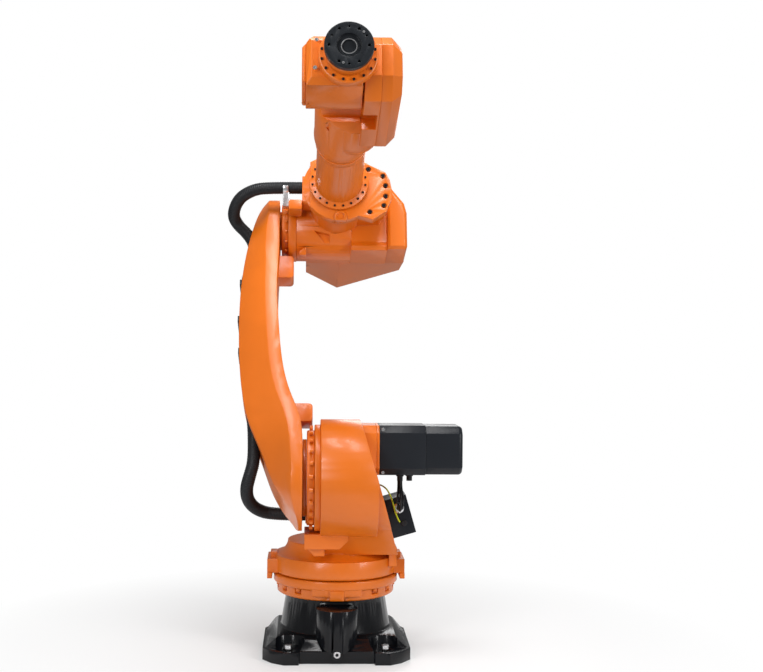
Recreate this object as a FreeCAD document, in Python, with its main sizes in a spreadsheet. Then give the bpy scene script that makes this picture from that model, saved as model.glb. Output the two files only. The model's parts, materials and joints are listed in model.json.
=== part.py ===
"""Six-axis industrial robot arm, floor mounted, as a parametric FreeCAD document.

Millimetres, +Z up.  The origin is on the floor at the swivel axis.  The arm reaches towards -Y,
the link arm stands on the -X side of the column and the shoulder motor on the +X side.
The arm is drawn in its rest pose: link arm leaning back, forearm rising a little forwards.
"""
import FreeCAD, Part
import math
import os
import re
import Sketcher

Vec = FreeCAD.Vector
Rot = FreeCAD.Rotation

DIMENSIONS = {
    # joint centres and rest pose (millimetres, degrees)
    "shoulder_height": 565, "shoulder_forward": 175, "link_length": 890, "elbow_offset": 50,
    "forearm_length": 1035, "wrist_length": 185, "link_lean": 25, "forearm_rise": 15,
    "wrist_droop": 3.5,
    # clearances between pieces that turn on each other
    "running_gap": 0.4, "seam_gap": 3,
    # base casting
    "foot_width": 462, "foot_depth": 530, "foot_thick": 38, "foot_recess": 18, "foot_inner": 118,
    "foot_outer": 164, "rear_width": 356, "neck_height": 178, "neck_radius": 160,
    "neck_root": 177, "flare_radius": 226, "flare_height": 74, "bulge_radius": 65,
    "bulge_top": 163, "foot_hole": 9, "foot_hole_x": 150, "foot_hole_y": 225,
    "skirt_run": 44, "skirt_rise": 30, "pocket_radius": 46, "pocket_back": -192,
    "plug_radius": 12, "plug_height": 32, "socket_box_width": 190,
    "socket_box_depth": 60, "socket_box_height": 96,
    # swivel gear ring and column
    "ring_flange_radius": 190, "ring_radius": 202, "ring_step": 212, "ring_top": 241,
    "ring_bolts": 18, "ring_bolt_circle": 186, "ring_pocket": 13, "ring_bolt_seat": 194,
    "spigot_radius": 120, "column_radius": 200, "column_floor": 244, "column_deck": 345,
    "deck_round": 38, "drum_radius": 183, "drum_left": -54, "drum_right": 121,
    "wall_radius": 168, "wall_foot_x": 177,
    "wall_foot_height": 374, "wall_lean": 16.1, "lug_reach": 222, "lug_inner": 182, "lug_low": 228,
    "lug_high": 290,
    "shelf_left": -103, "shelf_low": 349, "shelf_high": 396, "shelf_front": -230,
    # shoulder gear and motors
    "bolt_ring_radius": 166, "bolt_ring_thick": 19, "gear_flange_radius": 148,
    "gear_flange_thick": 24, "link_inner_x": -110, "shoulder_hub_radius": 120,
    "motor_side": 154, "motor_corner": 22, "motor_centre_height": 657, "motor_seat_x": 118,
    "motor_plate": 9, "motor_length": 143, "motor_cap_length": 115, "swivel_motor_x": 20,
    "swivel_motor_y": 110, "swivel_motor_side": 140, "swivel_motor_length": 190,
    "swivel_cap_length": 70, "swivel_seat": 348, "plate_width": 75, "plate_length": 123,
    # link arm
    "link_foot_radius": 165, "link_head_radius": 105, "channel_width": 64, "channel_depth": 50,
    "link_head_inner_x": -193, "elbow_hub_radius": 66, "hose_radius": 21,
    # elbow and arm housing
    "elbow_left_x": -187, "elbow_flange_radius": 92, "elbow_flange_thick": 22,
    "elbow_ring_radius": 105, "elbow_ring_thick": 28, "housing_radius": 103, "collar_radius": 128,
    "gear_case_radius": 90, "panel_left": 48, "panel_front": -88, "screw_seat": 8.5,
    "collar_front": 315, "collar_thick": 35, "housing_right_x": 170, "cover_right_x": 236,
    "housing_back": 45, "rear_length": 380, "rear_skew": 13,
    # forearm, wrist and tool flange
    "root_ring_radius": 95, "root_ring_thick": 12, "tube_radius": 75, "tube_end_radius": 73,
    "tube_end": 610, "bulge_start": 640, "bulge_end": 900, "fork_inner_x": 44, "fork_seam_x": 88,
    "fork_outer_x": 142, "fork_tip": 90, "fork_half": 92, "wrist_drum_radius": 85,
    "wrist_left_x": -107, "wrist_cover": 10, "wrist_front": 105, "wrist_half": 64,
    "wrist_corner": 26, "sweep_gap": 5, "wrist_sweep": 123, "ring_sweep": 151,
    "ring_reach": 142, "wrist_ring_radius": 76, "wrist_ring_thick": 25,
    "flange_radius": 62.5, "flange_thick": 17, "neck_ring_radius": 58, "bolt_circle": 50,
    "flange_hole": 4, "index_hole": 3, "bore_radius": 31.5, "bore_depth": 8,
    "insert_radius": 29, "insert_bore": 18,
}
LINK_STATIONS = (
    # height along the arm, inner face, crease, outer face, half width of the front-to-back section
    ("sole", -168, -110, -114, -122, 170), ("ankle", -105, -110, -128, -160, 170),
    ("hub", -40, -110, -140, -200, 166), ("knee", 65, -110, -150, -240, 152),
    ("heel", 160, -121, -165, -279, 132), ("shin", 250, -152, -195, -302, 116), ("waist", 380, -180, -221, -317, 104),
    ("middle", 500, -191, -231, -322, 99), ("upper", 650, -198, -238, -319, 97),
    ("throat", 780, -193, -236, -304, 100), ("brow", 880, -193, -232, -282, 106),
    ("temple", 945, -193, -222, -258, 106), ("head", 998, -193, -200, -208, 106),
)
STATION_SIZES = ("station", "inner", "crease", "outer", "half")
for title, *numbers in LINK_STATIONS:
    for size, number in zip(STATION_SIZES, numbers):
        DIMENSIONS[f"{title}_{size}"] = number

HOSE_ENTRY = (-150, 99)     # where the hose enters the arm housing: y, z in the forearm's frame
# large screws that hold the housing's front collar: x, z in the forearm's frame
COLLAR_SCREWS = ((95, 98), (142, 75), (150, 42), (150, 6), (144, -26), (99, -48))

doc = FreeCAD.newDocument("robot_arm")
sheet = doc.addObject("Spreadsheet::Sheet", "dims")
for row, (alias, number) in enumerate(DIMENSIONS.items(), start=1):
    sheet.set(f"A{row}", alias)
    sheet.set(f"B{row}", str(number))
    sheet.setAlias(f"B{row}", alias)
doc.recompute()
PIECES = []


# ---------------------------------------------------------------- binding to the sheet
def tied(formula):
    """A formula in plain alias names, as an expression that points at the sheet."""
    return re.sub(r"[a-z]+(?:_[a-z]+)+", lambda word: "dims." + word.group(), str(formula))


def number_of(formula):
    return float(sheet.evalExpression(tied(formula)))


def bind(thing, **formulas):
    """Tie properties to formulas; Placement parts are given as x, y, z and turn."""
    paths = {"x": "Placement.Base.x", "y": "Placement.Base.y", "z": "Placement.Base.z",
             "turn": "Placement.Rotation.Angle"}
    for prop, formula in formulas.items():
        thing.setExpression(paths.get(prop, prop), tied(formula))
    return thing


def turned_about(thing, axis, angle):
    """Turn an object about an axis through its own origin."""
    thing.Placement = FreeCAD.Placement(thing.Placement.Base, Rot(axis, 10))
    return bind(thing, turn=angle)


# ---------------------------------------------------------------- shapes
AXES = {"X": Rot(Vec(0, 1, 0), 90), "Y": Rot(Vec(1, 0, 0), -90), "Z": Rot()}
PLANES = {"XY": Rot(), "XZ": Rot(Vec(1, 0, 0), 90), "YZ": Rot(Vec(1, 1, 1), 120)}
NORMALS = {"XY": Vec(0, 0, 1), "XZ": Vec(0, 1, 0), "YZ": Vec(1, 0, 0)}
NORMAL_LETTER = {"XY": "z", "XZ": "y", "YZ": "x"}


def box(x, y, z):
    """A block between (low, high) formulas on each axis."""
    block = doc.addObject("Part::Box", "block")
    for prop, letter, (low, high) in zip(("Length", "Width", "Height"), "xyz", (x, y, z)):
        bind(block, **{prop: f"({high})-({low})", letter: low})
    return block


def disc(axis, radius, span, at=(0, 0)):
    """A cylinder along an axis, between the two formulas of span, through the point at."""
    cylinder = doc.addObject("Part::Cylinder", "disc")
    cylinder.Placement = FreeCAD.Placement(Vec(), AXES[axis])
    low, high = span
    others = [letter for letter in "xyz" if letter != axis.lower()]
    bind(cylinder, Radius=radius, Height=f"({high})-({low})", **{axis.lower(): low})
    return bind(cylinder, **dict(zip(others, at)))


def outline(plane, points, offset=0):
    """A closed sketch; a third value in a point is the radius of the arc that leads to it."""
    sketch = doc.addObject("Sketcher::SketchObject", "outline")
    sketch.Placement = FreeCAD.Placement(Vec(), PLANES[plane])
    bind(sketch, **{NORMAL_LETTER[plane]: offset})
    spots = [Vec(number_of(p[0]), number_of(p[1]), 0) for p in points]
    ends = []
    for index, spot in enumerate(spots):
        following = (index + 1) % len(spots)
        target = spots[following]
        if len(points[following]) == 2:
            sketch.addGeometry(Part.LineSegment(spot, target))
            ends.append((1, 2))
            continue
        radius = number_of(points[following][2])
        half = (target - spot) / 2
        rise = math.sqrt(max(radius ** 2 - half.Length ** 2, 0))
        side = Vec(-half.y, half.x, 0).normalize() * (rise if radius > 0 else -rise)
        centre = spot + half + side
        first, last = (spot, target) if radius > 0 else (target, spot)
        angles = [math.atan2(p.y - centre.y, p.x - centre.x) for p in (first, last)]
        circle = Part.Circle(centre, Vec(0, 0, 1), abs(radius))
        sketch.addGeometry(Part.ArcOfCircle(circle, *angles))
        ends.append((1, 2) if radius > 0 else (2, 1))
    for index, point in enumerate(points):
        following = (index + 1) % len(points)
        start, end = ends[index]
        sketch.addConstraint(Sketcher.Constraint("Coincident", index, end, following,
                                                 ends[following][0]))
        for kind, formula, value in (("DistanceX", point[0], spots[index].x),
                                     ("DistanceY", point[1], spots[index].y)):
            place = sketch.addConstraint(Sketcher.Constraint(kind, -1, 1, index, start, value))
            sketch.setExpression(f"Constraints[{place}]", tied(formula))
        if len(points[following]) == 3:
            radius = points[following][2]
            value = abs(number_of(radius))
            place = sketch.addConstraint(Sketcher.Constraint("Radius", index, value))
            sketch.setExpression(f"Constraints[{place}]", f"abs({tied(radius)})")
    return sketch


def prism(plane, points, span):
    """An outline on a plane, drawn out along the plane's normal over a span."""
    low, high = span
    solid = doc.addObject("Part::Extrusion", "prism")
    solid.Base = outline(plane, points, low)
    solid.DirMode = "Custom"
    solid.Dir = NORMALS[plane]
    solid.Solid = True
    return bind(solid, LengthFwd=f"({high})-({low})")


def turned(axis, points, at=(0, 0)):
    """A solid of revolution; points are (along, radius) from the axis through at."""
    solid = doc.addObject("Part::Revolution", "turned")
    if axis == "X":
        solid.Source = outline("XY", points)
        bind(solid.Source, y=at[0], z=at[1])
        bind(solid, **{"Base.y": at[0], "Base.z": at[1]})
    elif axis == "Z":
        flipped = [(p[1], p[0], *[f"-({r})" for r in p[2:]]) for p in points]
        solid.Source = outline("XZ", flipped)
    else:
        flipped = [(p[1], p[0], *[f"-({r})" for r in p[2:]]) for p in points]
        solid.Source = outline("XY", flipped)
        bind(solid.Source, x=at[0], z=at[1])
        bind(solid, **{"Base.x": at[0], "Base.z": at[1]})
    solid.Axis = {"X": Vec(1, 0, 0), "Y": Vec(0, 1, 0), "Z": Vec(0, 0, 1)}[axis]
    solid.Angle = 360
    solid.Solid = True
    return solid


def fuse(*solids):
    joined = doc.addObject("Part::MultiFuse", "joined")
    joined.Shapes = list(solids)
    joined.Refine = True
    return joined


def cut(solid, *tools):
    result = doc.addObject("Part::Cut", "cut")
    result.Base = solid
    result.Tool = tools[0] if len(tools) == 1 else fuse(*tools)
    result.Refine = True
    return result


def common(*solids):
    result = doc.addObject("Part::MultiCommon", "common")
    result.Shapes = list(solids)
    result.Refine = True
    return result


def rounded(solid, radius, chosen, flat=False):
    """Fillet (or chamfer, if flat) the edges that the test picks."""
    doc.recompute()
    size = number_of(radius)
    picked = [i for i, edge in enumerate(solid.Shape.Edges, start=1) if chosen(edge)]
    if not picked:
        raise ValueError(f"no edge to round on {solid.Name}")
    result = doc.addObject("Part::Chamfer" if flat else "Part::Fillet", "rounded")
    result.Base = solid
    result.Edges = [(i, size, size) for i in picked]
    return result


def runs_along(axis):
    """A test for straight edges parallel to an axis."""
    direction = {"X": Vec(1, 0, 0), "Y": Vec(0, 1, 0), "Z": Vec(0, 0, 1)}[axis]

    def test(edge):
        if edge.Curve.TypeId != "Part::GeomLine":
            return False
        return abs(edge.tangentAt(edge.FirstParameter).dot(direction)) > 0.9999
    return test


def lies_at(axis, formula):
    """A test for edges that lie wholly in a plane square to an axis."""
    level = number_of(formula)

    def test(edge):
        limits = edge.BoundBox
        low, high = {"X": (limits.XMin, limits.XMax), "Y": (limits.YMin, limits.YMax),
                     "Z": (limits.ZMin, limits.ZMax)}[axis]
        return abs(low - level) < 0.01 and abs(high - level) < 0.01
    return test


def bent_tube(points, radius):
    """A round tube along straight runs joined by arcs as large as the runs allow."""
    spots = [Vec(*point) for point in points]
    bends, radii = [], []
    for before, corner, after in zip(spots, spots[1:], spots[2:]):
        towards, away = (before - corner), (after - corner)
        turn = math.pi - towards.getAngle(away)
        reach = 0.45 * min(towards.Length, away.Length)
        start = corner + towards.normalize() * reach
        end = corner + away.normalize() * reach
        inward = (towards + away).normalize()
        bend = reach / math.tan(turn / 2)
        middle = corner + inward * (math.hypot(reach, bend) - bend)
        bends.append((start, middle, end))
        radii.append(bend)
    edges, here = [], spots[0]
    for start, middle, end in bends:
        edges.append(Part.LineSegment(here, start).toShape())
        edges.append(Part.Arc(start, middle, end).toShape())
        here = end
    edges.append(Part.LineSegment(here, spots[-1]).toShape())
    path = Part.Wire(edges)
    section = Part.Wire(Part.Circle(spots[0], spots[1] - spots[0], radius).toShape())
    tube = path.makePipeShell([section], True, False)
    ratio = tube.Volume / (math.pi * radius ** 2 * path.Length)
    if abs(ratio - 1) > 0.01:
        raise ValueError(f"tube volume is {ratio:.3f} of its section times its length")
    feature = doc.addObject("Part::Feature", "tube")
    feature.Shape = tube
    print(f"tube radius {radius:g}: length {path.Length:.0f}, tightest bend {min(radii):.0f}")
    return feature


# ---------------------------------------------------------------- frames of the moving groups
def keep(solid, label):
    """Name a finished piece that is drawn in the floor's frame."""
    solid.Label = label
    PIECES.append(solid)
    return solid


def on_link(solid, label):
    """Name a piece drawn in the link arm's frame: shoulder axis at 0, Z along the arm."""
    turned_about(solid, Vec(-1, 0, 0), "link_lean")
    bind(solid, y="-shoulder_forward", z="shoulder_height")
    return keep(solid, label)


def on_forearm(solid, label):
    """Name a piece drawn in the forearm's frame: elbow axis at 0, -Y along the forearm."""
    turned_about(solid, Vec(-1, 0, 0), "forearm_rise")
    bind(solid, y="link_length*sin(link_lean)-shoulder_forward",
         z="shoulder_height+link_length*cos(link_lean)")
    return keep(solid, label)


def on_wrist(solid, label):
    """Name a piece drawn in the wrist's frame: bending axis at 0, -Y towards the tool."""
    turned_about(solid, Vec(-1, 0, 0), "forearm_rise-wrist_droop")
    bind(solid, y="link_length*sin(link_lean)-shoulder_forward"
                  "-forearm_length*cos(forearm_rise)+elbow_offset*sin(forearm_rise)",
         z="shoulder_height+link_length*cos(link_lean)"
           "+forearm_length*sin(forearm_rise)+elbow_offset*cos(forearm_rise)")
    return keep(solid, label)


def from_link(y, z):
    """A point of the link arm's frame, in the floor's frame (numbers)."""
    lean = math.radians(number_of("link_lean"))
    return (y * math.cos(lean) + z * math.sin(lean) - number_of("shoulder_forward"),
            z * math.cos(lean) - y * math.sin(lean) + number_of("shoulder_height"))


# ---------------------------------------------------------------- base
def base():
    half_w, half_d = "foot_width/2", "foot_depth/2"
    # a quarter of the foot's plan at the front, then the narrower rear
    right_front = [("foot_inner-4", f"foot_recess-{half_d}"), ("foot_inner", f"-{half_d}"),
                   ("foot_outer", f"-{half_d}"), (f"{half_w}-30", "26-foot_depth/2"),
                   (half_w, "70-foot_depth/2"), (half_w, 60), ("rear_width/2+12", 140),
                   ("rear_width/2", 170), ("rear_width/2", f"{half_d}-40"),
                   ("rear_width/2-40", half_d)]
    left_front = [(f"-({x})", y) for x, y in reversed(right_front)]
    plan = right_front + left_front
    flare = turned("Z", [("neck_height", 0), ("neck_height", "neck_radius"),
                         ("flare_height", "neck_root"), ("flare_height-15", "neck_root+11"),
                         ("foot_thick+11", "neck_root+30"), ("foot_thick+3", "flare_radius"),
                         ("foot_thick-6", "flare_radius"), ("foot_thick-6", 0)])
    rim = disc("Z", "neck_radius+4", ("neck_height-5", "neck_height"))
    tube_shape = prism("XZ", [("-bulge_radius", "bulge_top"),
                              ("-bulge_radius", "plug_height+44"),
                              (0, "plug_height", "bulge_radius+4"),
                              ("bulge_radius", "plug_height+44", "bulge_radius+4"),
                              ("bulge_radius", "bulge_top")],
                       (f"-{half_d}-10", -120))
    bulge = common(tube_shape, disc("Z", "bulge_radius", (20, "bulge_top"),
                                    (0, f"bulge_radius-{half_d}")))
    boss = disc("Y", "plug_radius+5", (f"2-{half_d}", -220), (0, "plug_height"))
    foot = prism("XY", plan, (0, "foot_thick"))
    skirt_top = "foot_thick+skirt_rise"
    skirt = common(prism("XY", plan, ("foot_thick-9", skirt_top)),
                   prism("XZ", [(f"-{half_w}", "foot_thick-9"),
                                (f"skirt_run-{half_w}", skirt_top),
                                (f"{half_w}-skirt_run", skirt_top),
                                (half_w, "foot_thick-9")], (f"-{half_d}", half_d)),
                   prism("YZ", [(f"12-{half_d}", "foot_thick-9"),
                                (f"12+skirt_run-{half_d}", skirt_top), (110, skirt_top),
                                (150, "foot_thick-9")], (f"-{half_w}", half_w)))
    plain = fuse(foot, flare, rim, skirt)
    pockets = []
    for side in (-1, 1):
        ends = sorted((side * 112, side * (number_of("foot_width") / 2 + 1)))
        pockets.append(box(ends, (f"-{half_d}-1", "pocket_back"), ("foot_thick", "neck_height")))
        pockets.append(disc("Z", "pocket_radius", ("foot_thick", "neck_height-20"),
                            (f"{side}*(foot_hole_x-4)", "pocket_back-14")))
    body = fuse(cut(plain, *pockets), bulge, boss)
    corners = [(f"{side}*foot_hole_x", f"{end}*foot_hole_y") for side in (-1, 1)
               for end in (-1, 1)]
    holes = [disc("Z", "foot_hole", (-1, "neck_height"), corner) for corner in corners]
    pads = [disc("Z", "foot_hole*2", ("foot_thick-3", "foot_thick+skirt_rise+2"), corner)
            for corner in corners]
    socket = disc("Y", "plug_radius", (f"-{half_d}", f"10-{half_d}"), (0, "plug_height"))
    box_front, box_back = f"{half_d}-socket_box_depth-20", f"{half_d}-20"
    box_sides = ("-socket_box_width/2", "socket_box_width/2")
    box_levels = ("foot_thick", "foot_thick+socket_box_height")
    recess = box(box_sides, (box_front, half_d), box_levels)
    keep(cut(body, *holes, *pads, socket, recess), "base_frame")

    plug = turned("Y", [(f"-{half_d}", "plug_radius*0.42"), (f"-{half_d}", "plug_radius-2.5"),
                        (f"1.5-{half_d}", "plug_radius-1"), (f"10-{half_d}", "plug_radius-1"),
                        (f"10-{half_d}", 0), (f"7-{half_d}", 0),
                        (f"7-{half_d}", "plug_radius*0.42")], (0, "plug_height"))
    keep(plug, "base_plug")

    case = box(box_sides, (box_front, box_back), box_levels)
    keep(rounded(case, 8, runs_along("Z")), "rear_socket_box")
    sockets = []
    for place, reach in ((-60, 16), (0, 12), (60, 12)):
        sockets.append(disc("Y", 19, (f"{half_d}-20", f"{half_d}-20+{reach}"),
                            (place, "foot_thick+socket_box_height/2")))
    keep(fuse(*sockets), "rear_sockets")


def swivel_ring():
    profile = [("neck_height", 0), ("neck_height", "ring_flange_radius-6"),
               ("neck_height+4", "ring_flange_radius"), ("ring_step-2", "ring_flange_radius"),
               ("ring_step", "ring_radius-4"), ("ring_step+4", "ring_radius"),
               ("ring_top-2", "ring_radius"), ("ring_top", "ring_radius-2"),
               ("ring_top", "spigot_radius+running_gap"),
               ("ring_top-40", "spigot_radius+running_gap"), ("ring_top-40", 0)]
    ring = turned("Z", profile)
    wide = common(disc("Z", "ring_radius-2", ("ring_step-18", "ring_step+2")),
                  box((-78, 78), ("-ring_radius", -150), ("ring_step-18", "ring_step+2")))
    narrow = common(disc("Z", "ring_radius+3", ("ring_step-29", "ring_step+2")),
                    box((-22, 22), ("-ring_radius-4", -150), ("ring_step-29", "ring_step+2")))
    pockets = []
    for position in range(int(number_of("ring_bolts"))):
        angle = f"({position}*360/ring_bolts)"
        pockets.append(disc("Z", "ring_pocket", ("ring_bolt_seat", "ring_step"),
                            (f"(ring_bolt_circle+4)*sin({angle})",
                             f"-(ring_bolt_circle+4)*cos({angle})")))
    keep(fuse(cut(ring, *pockets), wide, narrow), "swivel_gear_ring")


# ---------------------------------------------------------------- column
def wall_x(height):
    """The column's slanting right wall at a height."""
    return f"wall_foot_x-tan(wall_lean)*(({height})-wall_foot_height)"


def column():
    deck = turned("Z", [("ring_top-40+running_gap", 0), ("ring_top-40+running_gap", "spigot_radius"),
                        ("column_floor", "spigot_radius"), ("column_floor", "column_radius-4"),
                        ("column_floor+6", "column_radius"),
                        ("column_deck-deck_round-6", "column_radius"),
                        ("column_deck", "column_radius-deck_round-6", "deck_round+8"),
                        ("column_deck", 0)])
    shoulder = ("-shoulder_forward", "shoulder_height")
    drum = disc("X", "drum_radius", ("drum_left", "drum_right"), shoulder)
    inner_drum = disc("X", "wall_radius", ("drum_left", 200), shoulder)
    pedestal = prism("YZ", [(-158, "column_deck-25"), (-250, 420), ("-shoulder_forward", 600),
                            ("-shoulder_forward+129", "shoulder_height+129"), (6, 640),
                            (34, 560), (36, 420), (36, "column_deck-25")],
                     ("drum_left", 200))
    walls = prism("XZ", [("drum_left", "column_deck-25"), (wall_x("column_deck-25"),
                                                          "column_deck-25"),
                         (wall_x("shoulder_height+drum_radius+1"),
                          "shoulder_height+drum_radius+1"),
                         ("drum_left", "shoulder_height+drum_radius+1")],
                  ("-shoulder_forward-drum_radius-1", 200))
    tower = common(fuse(drum, inner_drum, pedestal), walls)
    motor_low, motor_high = "motor_centre_height-motor_side/2", "motor_centre_height+motor_side/2"
    seat = box((60, "motor_seat_x"), ("-shoulder_forward-motor_side/2",
                                      "-shoulder_forward+motor_side/2"), (motor_low, motor_high))
    seat = rounded(seat, "motor_corner", runs_along("X"), flat=True)
    shelf = prism("XZ", [("shelf_left", "shelf_low"), (5, "shelf_low"), (32, "shelf_high-22"),
                         (32, "shelf_high"), ("shelf_left", "shelf_high")],
                  ("shelf_front", "-shoulder_forward+100"))
    gusset = prism("XZ", [(-95, "shelf_low"), (-72, "column_deck-20"), (-40, "column_deck-20"),
                          (-40, "shelf_low")], ("shelf_front+16", "-shoulder_forward+80"))
    lugs = []
    for side in (-1, 1):
        outer, inner = (side * number_of(size) for size in ("lug_reach", "lug_inner"))
        block = box(sorted((outer, inner)), (-66, 66), ("lug_low+16", "lug_high"))
        lip = box(sorted((outer, side * 206)), (-74, 74), ("lug_low", "lug_low+18"))
        ear = box(sorted((side * 190, side * 212)), (-34, 22), ("lug_high-8", "lug_high+18"))
        lugs += [block, lip, ear]
    boss = disc("Y", 13, (-120, -70), (180, "column_deck-13"))
    boss_foot = box((167, 193), (-118, -72), ("column_deck-70", "column_deck-13"))
    gearbox = disc("Z", "swivel_motor_side/2", ("column_deck-20", "swivel_seat"),
                   ("swivel_motor_x", "swivel_motor_y"))
    stub = disc("X", "hose_radius+8", ("shelf_left+3", "drum_left+30"), (-30, 428))
    body = fuse(deck, tower, seat, shelf, gusset, *lugs, boss, boss_foot, gearbox, stub)
    keep(body, "rotating_column")

    ring_left = "drum_left-bolt_ring_thick"
    ring = turned("X", [("drum_left", 0), ("drum_left", "bolt_ring_radius"),
                        (f"{ring_left}+2", "bolt_ring_radius"), (ring_left, "bolt_ring_radius-2"),
                        (ring_left, 0)], shoulder)
    keep(ring, "shoulder_bolt_ring")
    flange_left = f"{ring_left}-gear_flange_thick"
    flange = turned("X", [(ring_left, 0), (ring_left, "gear_flange_radius"),
                          (f"{flange_left}+3", "gear_flange_radius"),
                          (flange_left, "gear_flange_radius-3"), (flange_left, 0)], shoulder)
    keep(flange, "shoulder_gear_flange")


def motor_section(side, corner):
    """A square motor section with cut corners, as points about its centre."""
    half, inner = f"({side})/2", f"({side})/2-({corner})"
    points = [(half, f"-({inner})"), (half, inner), (inner, half), (f"-({inner})", half),
              (f"-({half})", inner), (f"-({half})", f"-({inner})"), (f"-({inner})", f"-({half})"),
              (inner, f"-({half})")]
    return points


def motors():
    section = [(f"({y})-shoulder_forward", f"({z})+motor_centre_height")
               for y, z in motor_section("motor_side", "motor_corner")]
    seat, plate = "motor_seat_x", "motor_seat_x+motor_plate"
    keep(prism("YZ", section, (seat, plate)), "motor_adapter_plate")
    joint = f"{plate}+motor_length"
    keep(prism("YZ", section, (plate, joint)), "shoulder_motor")
    end = f"{joint}+motor_cap_length"
    inset = [(f"({y})-shoulder_forward", f"({z})+motor_centre_height")
             for y, z in motor_section("motor_side-4", "motor_corner")]
    cap = prism("YZ", inset, (joint, end))
    keep(rounded(cap, 13, lies_at("X", end)), "shoulder_motor_brake")
    plugs = []
    for place, depth in ((196, -176), (226, -168)):
        drop = "motor_centre_height-motor_side/2"
        plug = turned("Z", [(f"{drop}-24", 0), (f"{drop}-24", 9), (f"{drop}-10", 9),
                            (f"{drop}-9", 12), (drop, 12), (drop, 0)])
        plugs.append(bind(plug, x=place, y=depth))
    keep(fuse(*plugs), "motor_plugs")

    section = [(f"({x})+swivel_motor_x", f"({y})+swivel_motor_y")
               for x, y in motor_section("swivel_motor_side", "motor_corner")]
    top = "swivel_seat+swivel_motor_length"
    keep(prism("XY", section, ("swivel_seat", top)), "swivel_motor")
    inset = [(f"({x})+swivel_motor_x", f"({y})+swivel_motor_y")
             for x, y in motor_section("swivel_motor_side-4", "motor_corner")]
    cap = prism("XY", inset, (top, f"{top}+swivel_cap_length"))
    keep(rounded(cap, 13, lies_at("Z", f"{top}+swivel_cap_length")), "swivel_motor_brake")


def cable_entry():
    """The black cable box on the slanting wall; its frame starts at the wall's foot."""
    case = box((0, "plate_width"), (-172, -60), (14, "14+plate_length"))
    gland = turned("Y", [(-172, 0), (-184, 0), (-184, 12), (-180, 17), (-172, 17)], (42, 89))
    blank = turned("Y", [(-172, 0), (-176, 0), (-176, 8), (-174, 10), (-172, 10)], (46, 38))
    for solid, label in ((case, "cable_box"), (gland, "cable_gland"), (blank, "cable_box_blank")):
        turned_about(solid, Vec(0, -1, 0), "wall_lean")
        bind(solid, x="wall_foot_x", z="wall_foot_height")
        keep(solid, label)
    lean = math.radians(number_of("wall_lean"))
    across, along = 42, 89
    gland_x = number_of("wall_foot_x") + across * math.cos(lean) - along * math.sin(lean)
    gland_z = number_of("wall_foot_height") + across * math.sin(lean) + along * math.cos(lean)
    drop = number_of("motor_centre_height-motor_side/2") - 24
    leads = bent_tube([(196, -176, drop), (196, -176, drop - 20), (195, -204, drop - 38),
                       (194, -232, drop - 52), (gland_x, -246, gland_z + 14),
                       (gland_x, -232, gland_z), (gland_x, -184, gland_z)], 6)
    keep(leads, "motor_leads")
    earth = bent_tube([(136, -150, 540), (150, -182, 538), (166, -196, 512), (176, -196, 480),
                       (182, -196, 456), (190, -198, 438), (196, -190, 428),
                       (196, -172, 428)], 2.5)
    keep(earth, "earth_lead")


# ---------------------------------------------------------------- link arm
def link_arm():
    loft = doc.addObject("Part::Loft", "loft")
    sections = []
    for title, *_ in LINK_STATIONS:
        inner, crease, outer, half = (f"{title}_{size}" for size in STATION_SIZES[1:])
        rim = [(inner, f"-{half}"), (inner, half), (crease, half), (outer, f"{half}*0.45"),
               (outer, f"-{half}*0.45"), (crease, f"-{half}")]
        sections.append(outline("XY", rim, f"{title}_station"))
    loft.Sections = sections
    loft.Solid = True
    loft.Ruled = False
    head = "link_length"
    side = prism("YZ", [(0, "-link_foot_radius", "link_foot_radius"),
                        ("link_foot_radius", 0, "link_foot_radius"),
                        ("waist_half", "waist_station"), ("throat_half-3", "throat_station"),
                        ("link_head_radius", head),
                        (0, f"{head}+link_head_radius", "link_head_radius"),
                        ("-link_head_radius", head, "link_head_radius"),
                        ("3-throat_half", "throat_station"), ("-waist_half", "waist_station"),
                        ("-link_foot_radius", 0)],
                 (-340, -100))
    blade = common(loft, side)
    floor = [(f"{title}_outer+channel_depth", f"{title}_station")
             for title, *_ in LINK_STATIONS if title not in ("sole", "ankle", "hub", "brow", "temple", "head")]
    channel = prism("XZ", [(-360, -60), (-232, -60), (-232, 40), *floor,
                           ("throat_outer+channel_depth", "throat_station+90"),
                           (-360, "throat_station+170")],
                    ("-channel_width/2", "channel_width/2"))
    hub_face = box(("link_inner_x", -60), (-200, 200), ("sole_station-40", "heel_station-16"))
    head_face = box(("link_head_inner_x", -100), (-200, 200),
                    ("throat_station", "head_station+40"))
    hollowed = cut(blade, channel, hub_face, head_face)
    lower_stop = prism("XZ", [("link_inner_x-20", 176), (-92, 176), (-79, 189, 13),
                              (-79, 225), (-92, 238, 13), ("link_inner_x-50", 238)], (-34, 34))
    upper_stop = prism("XZ", [(-205, 692), (-158, 692), (-145, 705, 13), (-145, 762),
                              (-158, 775, 13), (-205, 775)], (-34, 34))
    body = fuse(hollowed, lower_stop, upper_stop)
    on_link(body, "link_arm")

    flange_left = "drum_left-bolt_ring_thick-gear_flange_thick"
    hub = turned("X", [("link_inner_x", 0), (f"{flange_left}-running_gap", 0),
                       (f"{flange_left}-running_gap", "shoulder_hub_radius"),
                       ("link_inner_x", "shoulder_hub_radius")])
    on_link(hub, "shoulder_hub")
    hub = turned("X", [("link_head_inner_x", 0), ("elbow_left_x-running_gap", 0),
                       ("elbow_left_x-running_gap", "elbow_hub_radius"),
                       ("link_head_inner_x", "elbow_hub_radius")], (0, head))
    on_link(hub, "elbow_hub")
    straps = [box((f"{title}_outer-5", f"{title}_outer+1.5"),
                  ("-channel_width/2-12", "channel_width/2+12"), (place, place + 22))
              for title, place in (("waist", 405), ("middle", 520), ("upper", 655))]
    on_link(cut(fuse(*straps), hollowed), "hose_straps")


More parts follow.
